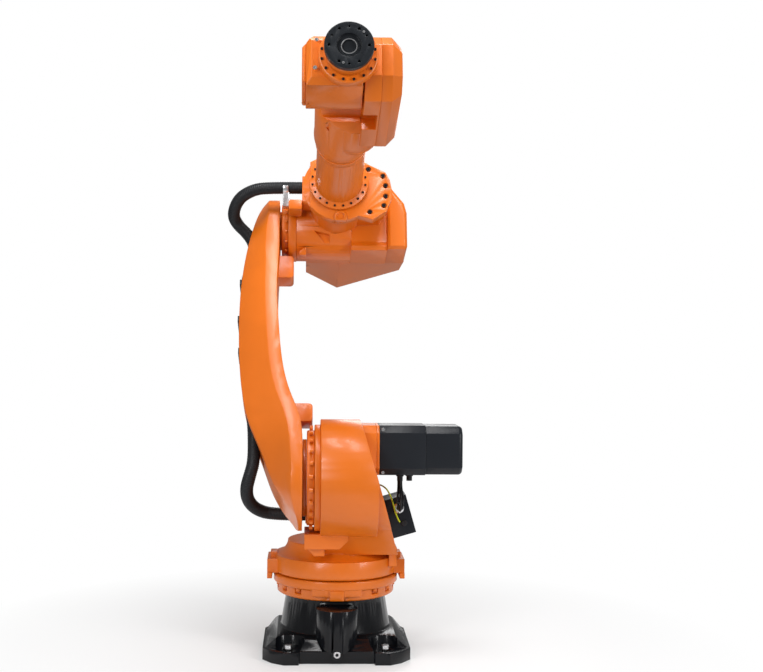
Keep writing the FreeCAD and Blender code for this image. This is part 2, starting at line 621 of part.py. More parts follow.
def hoses():
    """The hose: down the arm's channel, with a loop over each of the arm's two joints."""
    radius = number_of("hose_radius")
    lane = [(-264, 96), (-265, 160), (-276, 235), (-285, 320), (-291, 410), (-294, 500),
            (-293, 590), (-289, 680), (-284, 745), (-281, 800)]
    points = [(x, *from_link(0, z)) for x, z in lane]
    keep(bent_tube(points, radius), "link_arm_hose")

    down = [(-264, *from_link(0, 96)), (-263.3125, *from_link(0, 52)), (-276, -162, 568),
            (-288, -138, 524), (-284, -100, 482), (-258, -62, 448), (-208, -30, 428),
            (number_of("shelf_left+3"), -30, 428)]
    keep(bent_tube(down, radius), "lower_hose")

    rise = math.radians(number_of("forearm_rise"))
    elbow_y = number_of("link_length*sin(link_lean)-shoulder_forward")
    elbow_z = number_of("shoulder_height+link_length*cos(link_lean)")
    entry_y = elbow_y + HOSE_ENTRY[0] * math.cos(rise) + HOSE_ENTRY[1] * math.sin(rise)
    entry_z = elbow_z - HOSE_ENTRY[0] * math.sin(rise) + HOSE_ENTRY[1] * math.cos(rise)
    up = [(-281, *from_link(0, 800)), (-279.2, *from_link(0, 833)), (-304, *from_link(-4, 874)),
          (-342, *from_link(-26, 902)), (-354, 142, 1424), (-332, 108, 1472),
          (-284, entry_y, 1498), (-232, entry_y, entry_z), (-118, entry_y, entry_z)]
    keep(bent_tube(up, radius), "upper_hose")


# ---------------------------------------------------------------- elbow and arm housing
def arm_housing():
    ring_x = "elbow_left_x+elbow_flange_thick"
    drum_x = f"{ring_x}+elbow_ring_thick"
    flange = turned("X", [("elbow_left_x", 0), (ring_x, 0), (ring_x, "elbow_flange_radius"),
                          ("elbow_left_x+3", "elbow_flange_radius"),
                          ("elbow_left_x", "elbow_flange_radius-3")])
    on_forearm(flange, "elbow_gear_flange")
    ring = turned("X", [(ring_x, 0), (drum_x, 0), (drum_x, "elbow_ring_radius"),
                        (f"{ring_x}+2", "elbow_ring_radius"), (ring_x, "elbow_ring_radius-2")])
    on_forearm(ring, "elbow_gear_ring")

    axis_z = "elbow_offset"
    drum = disc("X", "housing_radius", (drum_x, "panel_left"))
    back = "housing_back"
    left_block = prism("YZ", [(-100, -15), (-30, -98), (back, -100), (back, 150), (-110, 150)],
                       (-104, 50))
    right_block = prism("YZ", [("panel_front", 30), ("panel_front+3", -66), (-96, -84),
                               (-92, -99), (back, -100), (back, 140), ("panel_front", 140)],
                        ("panel_left", "housing_right_x"))
    top = [(-92, f"{axis_z}+72"), (-92, f"{axis_z}-78")]
    lower = [(0, f"{axis_z}-collar_radius", "collar_radius"),
             (64, f"{axis_z}-111", "collar_radius")]
    right = [(108, f"{axis_z}-124"), (152, f"{axis_z}-95"), ("housing_right_x", f"{axis_z}-48"),
             ("housing_right_x", f"{axis_z}-20"), (164, f"{axis_z}+12"), (151, f"{axis_z}+38"),
             (98, f"{axis_z}+64"), (60, f"{axis_z}+88"), (-60, f"{axis_z}+88")]
    collar_back = "collar_thick-collar_front"
    collar = prism("XZ", top + lower + right, ("-collar_front", collar_back))
    gear_case = turned("Y", [("-collar_front+10", 0), (20, 0), (20, "gear_case_radius"),
                             (-190, "gear_case_radius"), (collar_back, "collar_radius-12")],
                       (0, axis_z))
    lobe = prism("XZ", [(30, f"{axis_z}-62"), (140, f"{axis_z}-56"), (158, f"{axis_z}-30"),
                        (158, f"{axis_z}+20"), (142, f"{axis_z}+44"), (60, f"{axis_z}+84"),
                        (30, f"{axis_z}+84")], (f"{collar_back}-5", 10))
    y, z = HOSE_ENTRY
    entry = rounded(box((-118, -40), (y - 34, y + 44), (z - 67, z + 32)), 12, runs_along("X"))
    pocket = prism("XZ", [(-76, -33), (-26, -43), (-24, -86)], (-140, -76))
    eyelet = common(disc("Y", 21, ("-collar_front-4", "-collar_front+20"), (6, -66)),
                    box((-20, 40), (-330, -290), (-78, -40)))
    eye = disc("Y", 11, ("-collar_front-5", "-collar_front+1"), (6, -63))
    nose = fuse(drum, left_block, right_block, collar, gear_case, lobe, entry, eyelet)
    seats = [disc("Y", "screw_seat", ("-collar_front-1", "-collar_front+5"), place)
             for place in COLLAR_SCREWS]
    bracket = prism("XZ", [(-126, -110), (-104, -110), (-104, -80), (-126, -96)], (-72, -40))
    spigot = disc("Y", "tube_radius-8+running_gap", ("-collar_front-1", "-collar_front+20"),
                  (0, axis_z))
    on_forearm(fuse(cut(nose, pocket, spigot, eye, *seats), bracket), "arm_housing")

    cover = prism("XZ", [("housing_right_x", -98), ("cover_right_x-6", -98),
                         ("cover_right_x", -88), ("cover_right_x", 30),
                         ("cover_right_x-9", 66), (186, 118), ("housing_right_x", 122)],
                  (-112, back))
    on_forearm(rounded(cover, 9, lies_at("Y", -112), flat=True), "side_cover")

    near = [(-104, -92), ("rear_skew", -100), ("cover_right_x", -92), ("cover_right_x", 96),
            (186, 146), (-70, 148), (-104, 118)]
    far = [(-104, -8), ("rear_skew", -70), ("cover_right_x+14", 4), ("cover_right_x+14", 96),
           (200, 136), (-66, 138), (-104, 108)]
    shell = doc.addObject("Part::Loft", "shell")
    shell.Sections = [outline("XZ", near, back), outline("XZ", far, "housing_back+rear_length")]
    shell.Solid = True
    shell.Ruled = True
    shell = rounded(shell, 8, lies_at("Y", "housing_back+rear_length"), flat=True)
    clearance = disc("X", "housing_radius+running_gap", (f"{drum_x}-10", "panel_left"))
    on_forearm(cut(shell, clearance), "rear_cover")

    shelf = box((-162, -118), (y - 38, y + 32), (z - 90, z - 56))
    on_forearm(rounded(shelf, 6, runs_along("Y")), "hose_shelf")
    saddle = cut(disc("X", "hose_radius+5", (-182, -164), (y, z)),
                 box((-183, -163), (y - 40, y + 40), (z - 2, z + 40)))
    post = box((-182, -162), (y - 13, y + 13), (z - 70, z - 19))
    on_forearm(cut(fuse(saddle, post), disc("X", "hose_radius+0.3", (-184, -161), (y, z))),
               "hose_clamp")


# ---------------------------------------------------------------- forearm, wrist and flange
def forearm():
    axis = (0, "elbow_offset")
    front = "-collar_front"
    flange = f"{front}-seam_gap"
    tube = turned("Y", [(f"{front}+20-running_gap", 0), (f"{front}+20-running_gap", "tube_radius-8"),
                        (flange, "tube_radius-8"), (flange, "root_ring_radius"),
                        (f"{flange}-root_ring_thick", "root_ring_radius"),
                        (f"{flange}-root_ring_thick-4", "tube_radius"),
                        ("-tube_end", "tube_end_radius"), ("-tube_end", 0)], axis)
    on_forearm(tube, "forearm_tube")

    collar = turned("Y", [("-tube_end", 0), ("-tube_end", "tube_end_radius+3"),
                          ("-bulge_start", "tube_end_radius+6"), ("-bulge_start", 0)], axis)
    on_forearm(collar, "forearm_end_ring")

    end = "-forearm_length+wrist_drum_radius+9"
    bulb = turned("Y", [("-bulge_start", 0), ("-bulge_start", "tube_end_radius+3"),
                        ("-bulge_start-70", "tube_end_radius+9", 160),
                        ("-bulge_end+30", "tube_end_radius+9"), (end, "tube_end_radius-14"),
                        (end, 0)], axis)
    low, high = "elbow_offset-fork_half", "elbow_offset+fork_half"
    tip = "(forearm_length+fork_tip)"
    cheek_side = [("-bulge_start-108", "elbow_offset-62"),
                  ("-bulge_start-108", "elbow_offset+62"), ("-bulge_start-160", high),
                  (f"-{tip}+50", high), (f"-{tip}", "elbow_offset+44"),
                  (f"-{tip}", "elbow_offset-44"), (f"-{tip}+50", low), ("-bulge_start-160", low)]
    cheek = prism("YZ", cheek_side, ("fork_inner_x", "fork_seam_x"))
    shoulder = turned("Y", [("-bulge_start-30", 0), ("-bulge_start-30", "tube_end_radius-18"),
                            ("-bulge_start-125", "fork_half-4", 150), (end, "fork_half-4"),
                            (end, 0)], (30, "elbow_offset"))
    side = box((-90, "fork_seam_x"), (end, "-bulge_start"), (low, high))
    body = fuse(bulb, cheek, common(shoulder, side))
    pivot = ("-forearm_length", "elbow_offset")
    well = disc("X", 40, ("fork_inner_x-5", "fork_seam_x-14"), pivot)
    # room for the wrist body, its gear ring and its neck at both ends of the wrist's swing
    sweep = disc("X", "wrist_sweep+sweep_gap", (-150, "fork_inner_x"), pivot)
    rooms = [sweep, well]
    for side, lean in ((-1, "2*wrist_droop"), (1, "0")):
        def at(back, up):
            """A point behind the wrist's axis, leant back where its droop lets it swing further."""
            return (f"{back}*cos({lean})+{up}*sin({lean})-forearm_length",
                    f"elbow_offset+{side}*({up}*cos({lean})-{back}*sin({lean}))")
        rooms.append(prism("YZ", [at(0, 0), at(108, 24), at("ring_reach", 58), at(131, 80),
                                  at(151, 106), at(151, 200), at(0, 200)],
                           (-150, "fork_inner_x")))
        notch = cut(disc("X", "ring_sweep+sweep_gap", ("fork_inner_x-1", "wrist_ring_radius+6"),
                         pivot),
                    disc("X", "wrist_front-sweep_gap", ("fork_inner_x-2", "fork_seam_x"), pivot))
        rooms.append(common(notch, prism("YZ", [at(0, 0), at(220, 98), at(220, 200), at(0, 200)],
                                         ("fork_inner_x-2", "fork_seam_x"))))
    pocket = prism("XY", [(-62, "-forearm_length+157"), (-43, "-forearm_length+135"),
                          (-43, "-forearm_length+190")], ("elbow_offset-120", "elbow_offset-62"))
    on_forearm(cut(body, pocket, *rooms), "wrist_fork")

    cover = prism("YZ", cheek_side, ("fork_seam_x", "fork_outer_x"))
    on_forearm(rounded(cover, 26, lies_at("X", "fork_outer_x"), flat=True), "fork_cover")


def wrist():
    front = "-wrist_front"
    right = "fork_inner_x-seam_gap-2"
    half, drum = "wrist_half", "wrist_drum_radius"
    side = prism("YZ", [(front, f"-{half}"), (-30, f"-{half}-16"), (0, f"-{drum}"),
                        (drum, 0, drum), (0, drum, drum), (-30, f"{half}+16"), (front, half)],
                 ("wrist_left_x", right))
    body = rounded(side, 14, lies_at("Y", front), flat=True)
    pivot = disc("X", "40-running_gap", (right, "fork_seam_x-14-running_gap"), (0, 0))

    def corner():
        """The slant that takes off the top edge on the end cover's side."""
        left = "wrist_left_x-wrist_cover"
        return prism("XZ", [(left, f"{half}-wrist_corner"), (left, f"{drum}+40"),
                            (f"{left}+wrist_corner+{drum}+40-{half}", f"{drum}+40")],
                     (f"-{drum}-60", f"{drum}+1"))
    on_wrist(fuse(cut(body, corner()), pivot), "wrist_body")

    cover = prism("YZ", [(f"{front}+16", f"8-{half}"), (0, f"8-{drum}"), (f"{drum}-8", 0, "wrist_drum_radius-8"),
                         (0, f"{drum}-8", "wrist_drum_radius-8"), (f"{front}+16", f"{half}-8")],
                  ("wrist_left_x-wrist_cover", "wrist_left_x"))
    cover = rounded(cover, 5, lies_at("X", "wrist_left_x-wrist_cover"))
    on_wrist(cut(cover, corner()), "wrist_end_cover")

    ring_front = f"{front}-wrist_ring_thick"
    ring = turned("Y", [(front, 0), (ring_front, 0), (ring_front, "wrist_ring_radius-3"),
                        (f"{ring_front}+3", "wrist_ring_radius"), (front, "wrist_ring_radius")])
    on_wrist(ring, "wrist_gear_ring")


def tool_flange():
    ring_front = "-wrist_front-wrist_ring_thick"
    face = "-wrist_length"
    back = f"{face}+flange_thick"
    neck = turned("Y", [(f"{ring_front}-running_gap", 0),
                        (f"{ring_front}-running_gap", "neck_ring_radius-8"),
                        (f"{ring_front}-seam_gap", "neck_ring_radius-8"),
                        (f"{ring_front}-seam_gap", "neck_ring_radius"),
                        (back, "neck_ring_radius"), (back, 0)])
    on_wrist(neck, "flange_neck")
    step = f"{face}+bore_depth"
    plate = turned("Y", [(back, "insert_radius"), (back, "flange_radius-1"),
                         (f"{back}-1", "flange_radius"), (f"{face}+1", "flange_radius"),
                         (face, "flange_radius-1"), (face, "bore_radius"), (step, "bore_radius"),
                         (step, "insert_radius")])
    holes = []
    for position in range(12):
        angle = 30 * position
        if angle in (210, 330):
            continue
        size = "index_hole" if position % 2 else "flange_hole"
        holes.append(disc("Y", size, (f"{face}-1", f"{back}-3"),
                          (f"bolt_circle*cos({angle})", f"bolt_circle*sin({angle})")))
    on_wrist(cut(plate, *holes), "tool_flange")
    insert = turned("Y", [(back, 0), (back, "insert_radius"), (f"{step}+0.5", "insert_radius"),
                          (f"{step}+0.5", "insert_bore+3"), (f"{step}+2", "insert_bore+3"),
                          (f"{step}+2", "insert_bore"), (f"{step}+6", "insert_bore"),
                          (f"{step}+6", 0)])
    on_wrist(insert, "flange_bore_insert")


# ---------------------------------------------------------------- build and write
base()
swivel_ring()
column()
motors()
cable_entry()
link_arm()
hoses()
arm_housing()
forearm()
wrist()
tool_flange()
doc.recompute()

for thing in doc.Objects:
    if "Invalid" in thing.State or "Error" in thing.State:
        raise RuntimeError(f"{thing.Name} ({thing.Label}) failed: {thing.State}")
for piece in PIECES:
    if piece.Shape.isNull() or not piece.Shape.isValid():
        raise RuntimeError(f"{piece.Label} has no valid shape")

os.makedirs("parts", exist_ok=True)
for piece in PIECES:
    piece.Shape.exportStep(f"parts/{piece.Label}.step")
    limits = piece.Shape.BoundBox
    print(f"{piece.Label:22s} solids {len(piece.Shape.Solids)}  volume {piece.Shape.Volume / 1e6:8.3f}"
          f"  x {limits.XMin:.0f}..{limits.XMax:.0f}  y {limits.YMin:.0f}..{limits.YMax:.0f}"
          f"  z {limits.ZMin:.0f}..{limits.ZMax:.0f}")
print(len(PIECES), "pieces")
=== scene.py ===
import json
import math

import bmesh
import bpy
from mathutils import Matrix, Vector

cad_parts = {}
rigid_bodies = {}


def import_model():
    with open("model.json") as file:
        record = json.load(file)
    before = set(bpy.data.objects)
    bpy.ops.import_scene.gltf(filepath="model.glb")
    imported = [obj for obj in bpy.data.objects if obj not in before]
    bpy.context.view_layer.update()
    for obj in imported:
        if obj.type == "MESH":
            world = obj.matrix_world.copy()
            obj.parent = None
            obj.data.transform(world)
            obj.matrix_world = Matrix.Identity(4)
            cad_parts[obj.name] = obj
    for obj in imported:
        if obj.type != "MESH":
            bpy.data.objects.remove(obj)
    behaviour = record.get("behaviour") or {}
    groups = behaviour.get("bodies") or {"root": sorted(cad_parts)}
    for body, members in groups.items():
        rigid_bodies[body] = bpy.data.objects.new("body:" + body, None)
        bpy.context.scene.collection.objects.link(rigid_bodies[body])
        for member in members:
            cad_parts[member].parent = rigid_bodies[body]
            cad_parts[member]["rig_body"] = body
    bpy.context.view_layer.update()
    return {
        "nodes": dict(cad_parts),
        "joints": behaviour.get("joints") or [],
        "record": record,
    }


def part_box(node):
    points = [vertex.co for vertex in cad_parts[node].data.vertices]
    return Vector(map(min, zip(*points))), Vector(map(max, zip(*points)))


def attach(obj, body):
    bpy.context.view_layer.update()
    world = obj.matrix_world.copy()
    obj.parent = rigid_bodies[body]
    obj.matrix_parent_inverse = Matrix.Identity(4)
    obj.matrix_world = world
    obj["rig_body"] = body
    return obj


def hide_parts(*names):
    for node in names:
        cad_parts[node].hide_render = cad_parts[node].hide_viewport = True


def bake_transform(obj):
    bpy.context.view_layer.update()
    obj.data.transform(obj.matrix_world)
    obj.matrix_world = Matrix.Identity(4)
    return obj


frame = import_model()


# ---------------------------------------------------------------- orange castings
# The column, link arm, arm housing, forearm, fork and wrist are aluminium castings, sprayed with
# a thick semi-gloss orange paint over a fine sand-cast skin.  Their mating faces are machined
# first, so the edges keep a small radius that catches the light.
def cast_paint(name, colour, roughness, grain, coat, specular=0.5):
    """Sprayed paint over a casting: a little uneven in tone and gloss, with an orange-peel skin."""
    material = bpy.data.materials.new(name)
    material.use_nodes = True
    nodes, links = material.node_tree.nodes, material.node_tree.links
    shader = nodes["Principled BSDF"]
    shader.inputs["Specular IOR Level"].default_value = specular
    shader.inputs["Coat Weight"].default_value = coat
    shader.inputs["Coat Roughness"].default_value = 0.12
    place = nodes.new("ShaderNodeTexCoord")
    clouds = nodes.new("ShaderNodeTexNoise")
    clouds.inputs["Scale"].default_value = 5.0
    clouds.inputs["Detail"].default_value = 3.0
    links.new(place.outputs["Object"], clouds.inputs["Vector"])
    tone = nodes.new("ShaderNodeValToRGB")
    tone.color_ramp.elements[0].position = 0.3
    tone.color_ramp.elements[1].position = 0.75
    tone.color_ramp.elements[0].color = (*[c * 0.94 for c in colour], 1)
    tone.color_ramp.elements[1].color = (*[min(c * 1.05, 1) for c in colour], 1)
    links.new(clouds.outputs["Fac"], tone.inputs["Fac"])
    links.new(tone.outputs["Color"], shader.inputs["Base Color"])
    gloss = nodes.new("ShaderNodeMapRange")
    gloss.inputs["To Min"].default_value = roughness * 0.85
    gloss.inputs["To Max"].default_value = roughness * 1.2
    links.new(clouds.outputs["Fac"], gloss.inputs["Value"])
    links.new(gloss.outputs["Result"], shader.inputs["Roughness"])
    peel = nodes.new("ShaderNodeTexNoise")
    peel.inputs["Scale"].default_value = 260.0
    peel.inputs["Detail"].default_value = 2.0
    links.new(place.outputs["Object"], peel.inputs["Vector"])
    skin = nodes.new("ShaderNodeBump")
    skin.inputs["Strength"].default_value = grain
    skin.inputs["Distance"].default_value = 0.0006
    links.new(peel.outputs["Fac"], skin.inputs["Height"])
    links.new(skin.outputs["Normal"], shader.inputs["Normal"])
    return material


def finished(source, name):
    """The evaluated mesh of an object, as a plain object of its own."""
    graph = bpy.context.evaluated_depsgraph_get()
    mesh = bpy.data.meshes.new_from_object(source.evaluated_get(graph), depsgraph=graph)
    mesh.name = name
    piece = bpy.data.objects.new(name, mesh)
    bpy.context.scene.collection.objects.link(piece)
    bpy.data.objects.remove(source)
    return piece


def casting(node, material, edge=0.0016):
    """A copy of a CAD casting with its sharp edges broken, standing for the CAD node."""
    weld, nearly_flat, sharp = 2e-5, math.radians(0.6), math.radians(24)
    source = frame["nodes"][node]
    mesh = source.data.copy()
    shape = bmesh.new()
    shape.from_mesh(mesh)
    bmesh.ops.remove_doubles(shape, verts=shape.verts, dist=weld)
    bmesh.ops.dissolve_limit(shape, angle_limit=nearly_flat, verts=shape.verts,
                             edges=shape.edges)
    shape.to_mesh(mesh)
    shape.free()
    mesh.materials.clear()
    mesh.materials.append(material)
    for face in mesh.polygons:
        face.use_smooth = True
        face.material_index = 0
    rough = bpy.data.objects.new(f"{node}_rough", mesh)
    bpy.context.scene.collection.objects.link(rough)
    bevel = rough.modifiers.new("broken edges", "BEVEL")
    bevel.width = edge
    bevel.segments = 2
    bevel.limit_method = "ANGLE"
    bevel.angle_limit = sharp
    bevel.use_clamp_overlap = False
    bevel.harden_normals = True
    piece = finished(rough, f"{node}_painted")
    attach(piece, source["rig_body"])
    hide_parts(node)
    return piece


orange_paint = cast_paint("orange_paint", (0.70, 0.148, 0.0035), 0.36, 0.12, 0.12)
slots = {row["node"]: row["material_slot"] for row in frame["record"]["subparts"]}
for node in sorted(slots):
    if slots[node] == "orange_paint":
        casting(node, orange_paint)

# ---------------------------------------------------------------- black base casting
# The base is one heavy iron casting, painted gloss black, with a tubular bulge in front and four
# pads for the floor bolts.  The plug low in the bulge is bright steel with a hexagon socket.
black_paint = cast_paint("black_casting", (0.004, 0.0045, 0.006), 0.2, 0.2, 0.15, 0.22)
casting("base_frame", black_paint, 0.0012)


def plain_finish(name, colour, metallic, roughness, scale=40.0):
    """An even finish whose gloss wanders a little over the surface."""
    material = bpy.data.materials.new(name)
    material.use_nodes = True
    nodes, links = material.node_tree.nodes, material.node_tree.links
    shader = nodes["Principled BSDF"]
    shader.inputs["Base Color"].default_value = (*colour, 1)
    shader.inputs["Metallic"].default_value = metallic
    shader.inputs["Specular IOR Level"].default_value = 0.5 if metallic else 0.25
    place = nodes.new("ShaderNodeTexCoord")
    wander = nodes.new("ShaderNodeTexNoise")
    wander.inputs["Scale"].default_value = scale
    wander.inputs["Detail"].default_value = 4.0
    links.new(place.outputs["Object"], wander.inputs["Vector"])
    gloss = nodes.new("ShaderNodeMapRange")
    gloss.inputs["To Min"].default_value = roughness * 0.7
    gloss.inputs["To Max"].default_value = roughness * 1.3
    links.new(wander.outputs["Fac"], gloss.inputs["Value"])
    links.new(gloss.outputs["Result"], shader.inputs["Roughness"])
    return material


bright_steel = plain_finish("bright_steel", (0.72, 0.72, 0.73), 1.0, 0.28)
casting("base_plug", bright_steel, 0.0008)
black_plastic = plain_finish("black_plastic", (0.016, 0.016, 0.018), 0.0, 0.5)
casting("rear_socket_box", black_plastic, 0.002)
socket_metal = plain_finish("socket_metal", (0.42, 0.43, 0.45), 1.0, 0.35)
casting("rear_sockets", socket_metal, 0.0008)


# ---------------------------------------------------------------- screws
# Socket-head screws hold the gear rings, covers and motors.  One node tree makes the head: a
# slightly tapered cylinder with a hexagon socket, set at each point of a small carrier mesh.
def screw_tree():
    tree = bpy.data.node_groups.new("socket_screws", "GeometryNodeTree")
    face = tree.interface
    face.new_socket("Geometry", in_out="INPUT", socket_type="NodeSocketGeometry")
    for label in ("Head Radius", "Head Height", "Socket Radius"):
        face.new_socket(label, in_out="INPUT", socket_type="NodeSocketFloat")
    face.new_socket("Finish", in_out="INPUT", socket_type="NodeSocketMaterial")
    face.new_socket("Geometry", in_out="OUTPUT", socket_type="NodeSocketGeometry")
    new, link = tree.nodes.new, tree.links.new
    given, result = new("NodeGroupInput"), new("NodeGroupOutput")
    head = new("GeometryNodeMeshCone")
    head.inputs["Vertices"].default_value = 20
    rim = new("ShaderNodeMath")
    rim.operation = "MULTIPLY"
    rim.inputs[1].default_value = 0.93
    link(given.outputs["Head Radius"], rim.inputs[0])
    link(rim.outputs[0], head.inputs["Radius Top"])
    link(given.outputs["Head Radius"], head.inputs["Radius Bottom"])
    link(given.outputs["Head Height"], head.inputs["Depth"])
    hexagon = new("GeometryNodeMeshCylinder")
    hexagon.inputs["Vertices"].default_value = 6
    link(given.outputs["Socket Radius"], hexagon.inputs["Radius"])
    link(given.outputs["Head Height"], hexagon.inputs["Depth"])
    lifted = new("GeometryNodeTransform")
    lift = new("ShaderNodeCombineXYZ")
    raised = new("ShaderNodeMath")
    raised.operation = "MULTIPLY"
    raised.inputs[1].default_value = 0.9
    link(given.outputs["Head Height"], raised.inputs[0])
    link(raised.outputs[0], lift.inputs["Z"])
    link(hexagon.outputs["Mesh"], lifted.inputs["Geometry"])
    link(lift.outputs["Vector"], lifted.inputs["Translation"])
    socketed = new("GeometryNodeMeshBoolean")
    link(head.outputs["Mesh"], socketed.inputs["Mesh 1"])
    link(lifted.outputs["Geometry"], socketed.inputs["Mesh 2"])
    spread = new("GeometryNodeInstanceOnPoints")
    link(given.outputs["Geometry"], spread.inputs["Points"])
    link(socketed.outputs["Mesh"], spread.inputs["Instance"])
    real = new("GeometryNodeRealizeInstances")
    link(spread.outputs["Instances"], real.inputs["Geometry"])
    finish = new("GeometryNodeSetMaterial")
    link(real.outputs["Geometry"], finish.inputs["Geometry"])
    link(given.outputs["Finish"], finish.inputs["Material"])
    link(finish.outputs["Geometry"], result.inputs["Geometry"])
    return tree


socket_screws = screw_tree()
FACING = {"front": Matrix.Rotation(math.radians(90), 4, "X"),
          "left": Matrix.Rotation(math.radians(-90), 4, "Y")}


def screws(name, body, spots, place, finish, head, height, socket=0.5):
    """Screw heads at spots of a plane; place puts that plane, with its heads along +Z."""
    carrier = bpy.data.meshes.new(name)
    carrier.from_pydata([(x, y, 0) for x, y in spots], [], [])
    holder = bpy.data.objects.new(f"{name}_carrier", carrier)
    bpy.context.scene.collection.objects.link(holder)
    heads = holder.modifiers.new("screws", "NODES")
    heads.node_group = socket_screws
    sizes = {"Head Radius": head, "Head Height": height, "Socket Radius": head * socket,
             "Finish": finish}
    for item in socket_screws.interface.items_tree:
        if item.in_out == "INPUT" and item.name in sizes:
            heads[item.identifier] = sizes[item.name]
    piece = finished(holder, name)
    piece.data.transform(place @ Matrix.Translation((0, 0, height / 2)))
    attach(piece, body)
    return piece


# The four floor bolts are bright zinc-plated steel, one in each corner pad of the foot.
bolt_across, bolt_along, pad_top = 0.15, 0.225, 0.037
screws("foot_bolts", "base",
       [(x, y) for x in (-bolt_across, bolt_across) for y in (-bolt_along, bolt_along)],
       Matrix.Translation((0, 0, pad_top)), bright_steel, head=0.012,
       height=0.011)


# ---------------------------------------------------------------- swivel ring screws
# Eighteen steel screws clamp the swivel gear from below.  They sit in pockets of the gear ring
# and were painted orange together with it.
def around(radius, angles):
    """Points at these angles of a bolt circle, in degrees from the plane's X axis."""
    return [(radius * math.cos(math.radians(angle)), radius * math.sin(math.radians(angle)))
            for angle in angles]


def circle(radius, count, first):
    """Points evenly round a bolt circle."""
    return around(radius, [first + 360 / count * number for number in range(count)])


ring_pocket_floor = 0.196
screws("ring_bolts", "base", circle(0.186, 18, -90),
       Matrix.Translation((0, 0, ring_pocket_floor)), orange_paint, head=0.0085,
       height=0.013)

# ---------------------------------------------------------------- shoulder and elbow screws
# A full circle of steel screws holds each gear ring to its casting, on the side of the link arm.
# They were painted over in place.  The frames of the leaning arms start here, at their joints.
joints = {joint["name"]: Vector(joint["pos_m"]) for joint in frame["joints"]}
link_lean, forearm_rise, wrist_rise = 25, 15, 11.5


def leaning(joint, angle):
    """The frame of an arm that leans back by an angle in degrees, with its origin on a joint."""
    return (Matrix.Translation((0, joints[joint].y, joints[joint].z))
            @ Matrix.Rotation(math.radians(-angle), 4, "X"))


shoulder_frame = leaning("shoulder", 0)
link_frame = leaning("shoulder", link_lean)
arm_frame = leaning("elbow", forearm_rise)
wrist_frame = leaning("wrist_bend", wrist_rise)

shoulder_ring_face, elbow_ring_face = -0.0728, -0.1648
screws("shoulder_bolts", "column", circle(0.157, 24, 7.5),
       shoulder_frame @ Matrix.Translation((shoulder_ring_face, 0, 0)) @ FACING["left"],
       orange_paint, head=0.0068, height=0.0105)
screws("elbow_bolts", "arm", circle(0.0985, 18, 10),
       arm_frame @ Matrix.Translation((elbow_ring_face, 0, 0)) @ FACING["left"],
       orange_paint, head=0.0048, height=0.0065)

# ---------------------------------------------------------------- arm housing screws
# Six large screws hold the front collar in their seats; their heads are painted black, as painted
# shade for those deep seats.
# Twenty small black-oxide screws hold the ring at the forearm's root, which turns on an axis above
# the elbow's.
flange_black = plain_finish("flange_black", (0.012, 0.014, 0.017), 0.0, 0.3)
collar_seats = [(0.095, 0.098), (0.142, 0.075), (0.150, 0.042), (0.150, 0.006), (0.144, -0.026),
                (0.099, -0.048)]
seat_floor, root_ring_face, forearm_axis_up = -0.3095, -0.330, 0.05
# The collar screw heads are black as painted shade, standing for the shade deep in their
# counterbored seats.
screws("collar_screws", "arm", collar_seats,
       arm_frame @ Matrix.Translation((0, seat_floor, 0)) @ FACING["front"], flange_black,
       head=0.0062, height=0.005, socket=0.55)
screws("root_ring_screws", "forearm", circle(0.0855, 20, 9),
       arm_frame @ Matrix.Translation((0, root_ring_face, forearm_axis_up)) @ FACING["front"],
       flange_black, head=0.0036, height=0.0036)

# ---------------------------------------------------------------- wrist and flange
# The wrist's gear ring has a circle of small screws.  The flange is black-oxidised steel, with
# two bright dowel pins and a bright ring pressed in the bottom of its bore.
wrist_ring_face, flange_front = -0.130, -0.185
screws("wrist_ring_screws", "wrist", circle(0.0685, 16, 11.25),
       wrist_frame @ Matrix.Translation((0, wrist_ring_face, 0)) @ FACING["front"],
       flange_black, head=0.0036, height=0.0032)
casting("tool_flange", flange_black, 0.0006)
casting("flange_bore_insert", flange_black, 0.0005)


def ring(name, body, place, outer, inner, thick, finish):
    """A flat turned ring with broken edges, lying on a plane."""
    shape = bmesh.new()
    edge = min(thick, outer - inner) * 0.3
    section = [(inner, 0), (outer, 0), (outer, thick - edge), (outer - edge, thick),
               (inner + edge, thick), (inner, thick - edge)]
    verts = [shape.verts.new((radius, 0, height)) for radius, height in section]
    edges = [shape.edges.new((verts[i], verts[(i + 1) % len(verts)])) for i in range(len(verts))]
    bmesh.ops.spin(shape, geom=verts + edges, cent=(0, 0, 0), axis=(0, 0, 1),
                   angle=math.tau, steps=64, use_merge=True)
    bmesh.ops.remove_doubles(shape, verts=shape.verts, dist=1e-6)
    bmesh.ops.recalc_face_normals(shape, faces=shape.faces)
    mesh = bpy.data.meshes.new(name)
    shape.to_mesh(mesh)
    shape.free()
    mesh.transform(place)
    mesh.materials.append(finish)
    piece = bpy.data.objects.new(name, mesh)
    bpy.context.scene.collection.objects.link(piece)
    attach(piece, body)
    return piece


flange_face = wrist_frame @ Matrix.Translation((0, flange_front, 0)) @ FACING["front"]
bore_depth, pin_depth = 0.0085, 0.0028
ring("flange_centre_ring", "flange", flange_face @ Matrix.Translation((0, 0, -bore_depth)),
     outer=0.0205, inner=0.0182, thick=0.0012, finish=bright_steel)
screws("flange_pins", "flange", around(0.050, (44, -107)),
       flange_face @ Matrix.Translation((0, 0, -pin_depth)), bright_steel,
       head=0.0032, height=0.003, socket=0.4)

# Two bright steel screws close the oil ports on the wrist's front, beside its gear ring.
port_depth = -0.1128
screws("wrist_plugs", "wrist", [(-0.084, -0.030), (-0.080, 0.046)],
       wrist_frame @ Matrix.Translation((0, port_depth, 0)) @ FACING["front"], bright_steel,
       head=0.0055, height=0.003, socket=0.55)

# ---------------------------------------------------------------- motors
# The servomotors and the box for their leads have cast or folded cases, powder-coated in satin
# black.  Bright socket screws hold the shoulder motor to its adapter plate.
satin_black = cast_paint("motor_black", (0.012, 0.014, 0.018), 0.34, 0.25, 0.0, 0.22)
for node in sorted(slots):
    if slots[node] == "motor_black":
        casting(node, satin_black, 0.0012)

